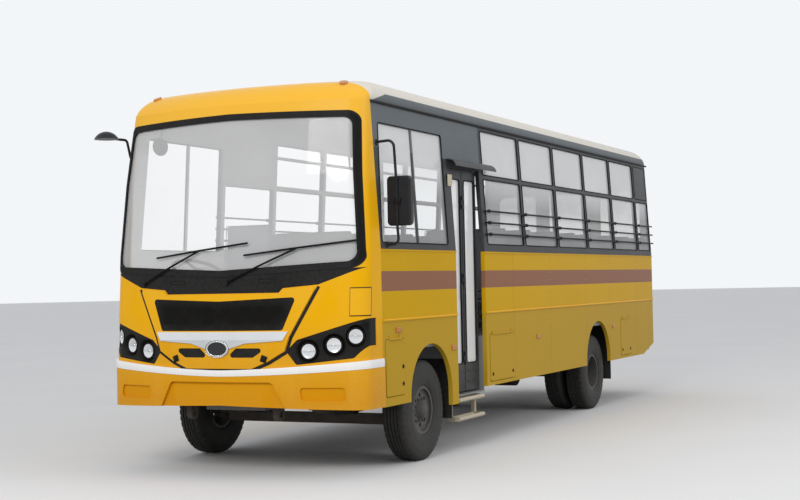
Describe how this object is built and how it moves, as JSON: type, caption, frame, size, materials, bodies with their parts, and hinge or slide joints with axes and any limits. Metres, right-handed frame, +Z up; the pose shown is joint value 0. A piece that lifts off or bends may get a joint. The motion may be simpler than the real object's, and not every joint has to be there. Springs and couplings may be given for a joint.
{
  "type": "school bus",
  "caption": "School bus with a hollow cabin, folding entrance door, rear exit door, lift-up bonnet panel, side flaps and steered front wheels.",
  "frame": {"origin": "on the ground under the middle of the bounding box", "axes": "+Y to the rear of the bus, -Y to its front, +X to its left, where the entrance door is, +Z up"},
  "size_m": [2.735, 8.916, 3.22],
  "materials": {
    "body_yellow": "gloss",
    "roof_white": "gloss",
    "black_trim": "satin",
    "rubber": "matte",
    "clear_glass": "gloss",
    "lens_clear": "gloss",
    "bright_metal": "polished",
    "frame_grey": "satin",
    "lens_red": "gloss",
    "lens_orange": "gloss",
    "door_black": "satin",
    "floor_grey": "matte",
    "step_beige": "satin",
    "chassis_black": "satin",
    "engine_grey": "matte",
    "dash_grey": "matte",
    "seat_cover": "satin",
    "seat_metal": "satin",
    "tyre": "matte",
    "wheel_steel": "satin"
  },
  "bodies": {
    "bus": {"bumpers": "body_yellow", "chassis_frame": "chassis_black", "cowl": "black_trim", "cross_members": "chassis_black", "dashboard": "dash_grey", "driver_seat": "seat_cover", "engine": "engine_grey", "floor": "floor_grey", "foot_step": "step_beige", "front_axle": "chassis_black", "front_panel": "body_yellow", "fuel_tank": "chassis_black", "grab_rails": "seat_metal", "guard_bars": "frame_grey", "lamp_housings": "black_trim", "lamp_lenses": "lens_clear", "leaf_springs": "chassis_black", "marker_lamps": "lens_orange", "mirrors": "black_trim", "mud_flaps": "rubber", "propeller_shaft": "chassis_black", "rear_axle": "chassis_black", "rear_wall": "body_yellow", "rear_windows": "clear_glass", "roof": "roof_white", "seat_frames": "seat_metal", "seats_left": "seat_cover", "seats_right": "seat_cover", "side_panel_left": "body_yellow", "side_panel_right": "body_yellow", "side_windows": "clear_glass", "tail_lamps": "lens_red", "window_frame_left": "frame_grey", "window_frame_right": "frame_grey", "windscreen": "clear_glass", "windscreen_seal": "rubber", "wipers": "black_trim"},
    "knuckle_left": {"knuckle_left": "chassis_black"},
    "knuckle_right": {"knuckle_right": "chassis_black"},
    "wheel_front_left": {"tyre_front_left": "tyre", "rim_front_left": "wheel_steel"},
    "wheel_front_right": {"tyre_front_right": "tyre", "rim_front_right": "wheel_steel"},
    "wheel_rear_left": {"tyres_rear_left": "tyre", "rims_rear_left": "wheel_steel"},
    "wheel_rear_right": {"tyres_rear_right": "tyre", "rims_rear_right": "wheel_steel"},
    "door_leaf_front": {"door_leaf_front": "door_black", "door_leaf_front_glass": "clear_glass"},
    "door_leaf_rear": {"door_leaf_rear": "door_black", "door_leaf_rear_glass": "clear_glass"},
    "bonnet": {"bonnet_panel": "body_yellow", "grille": "black_trim", "bright_bar": "bright_metal"},
    "flap_front": {"flap_front": "body_yellow"},
    "flap_battery": {"flap_battery": "body_yellow"},
    "flap_rear": {"flap_rear": "body_yellow"},
    "rear_door": {"rear_door": "body_yellow", "rear_door_glass": "clear_glass"},
    "steering_wheel": {"steering_wheel": "black_trim"}
  },
  "joints": [
    {"name": "steering", "type": "hinge", "parent": "bus", "child": "knuckle_left", "pos_m": [0.905, -2.952, 0.43], "axis": [0, 0, 1], "range_deg": [-35, 35]},
    {"name": "steering_right", "type": "hinge", "parent": "bus", "child": "knuckle_right", "pos_m": [-0.905, -2.952, 0.43], "axis": [0, 0, 1], "range_deg": [-35, 35]},
    {"name": "roll_front_left", "type": "hinge", "parent": "knuckle_left", "child": "wheel_front_left", "pos_m": [1.015, -2.952, 0.43], "axis": [1, 0, 0], "continuous": true},
    {"name": "roll_front_right", "type": "hinge", "parent": "knuckle_right", "child": "wheel_front_right", "pos_m": [-1.015, -2.952, 0.43], "axis": [1, 0, 0], "continuous": true},
    {"name": "roll_rear_left", "type": "hinge", "parent": "bus", "child": "wheel_rear_left", "pos_m": [0.864, 1.898, 0.43], "axis": [1, 0, 0], "continuous": true},
    {"name": "roll_rear_right", "type": "hinge", "parent": "bus", "child": "wheel_rear_right", "pos_m": [-0.864, 1.898, 0.43], "axis": [1, 0, 0], "continuous": true},
    {"name": "door_swing", "type": "hinge", "parent": "bus", "child": "door_leaf_front", "pos_m": [1.095, -2.292, 1.5], "axis": [0, 0, 1], "range_deg": [0, 85]},
    {"name": "door_fold", "type": "hinge", "parent": "door_leaf_front", "child": "door_leaf_rear", "pos_m": [1.118, -2.007, 1.5], "axis": [0, 0, 1], "range_deg": [-170, 0]},
    {"name": "bonnet_lift", "type": "hinge", "parent": "bus", "child": "bonnet", "pos_m": [0, -4.337, 1.56], "axis": [-1, 0, 0], "range_deg": [0, 60]},
    {"name": "front_flap_lift", "type": "hinge", "parent": "bus", "child": "flap_front", "pos_m": [1.198, -3.66, 1.07], "axis": [0, -1, 0], "range_deg": [0, 90]},
    {"name": "battery_flap_lift", "type": "hinge", "parent": "bus", "child": "flap_battery", "pos_m": [1.198, -1.256, 1.018], "axis": [0, -1, 0], "range_deg": [0, 90]},
    {"name": "rear_flap_lift", "type": "hinge", "parent": "bus", "child": "flap_rear", "pos_m": [1.198, 2.973, 1.018], "axis": [0, -1, 0], "range_deg": [0, 90]},
    {"name": "rear_door_swing", "type": "hinge", "parent": "bus", "child": "rear_door", "pos_m": [-0.36, 4.41, 1.9], "axis": [0, 0, 1], "range_deg": [0, 110]},
    {"name": "hand_wheel", "type": "hinge", "parent": "bus", "child": "steering_wheel", "pos_m": [-0.7, -3.642, 1.66], "axis": [0, -0.4226, -0.9063], "range_deg": [-630, 630]}
  ],
  "couplings": [
    {"joint": "steering_right", "follows": "steering", "ratio": 1},
    {"joint": "door_fold", "follows": "door_swing", "ratio": -2},
    {"joint": "hand_wheel", "follows": "steering", "ratio": -18}
  ]
}
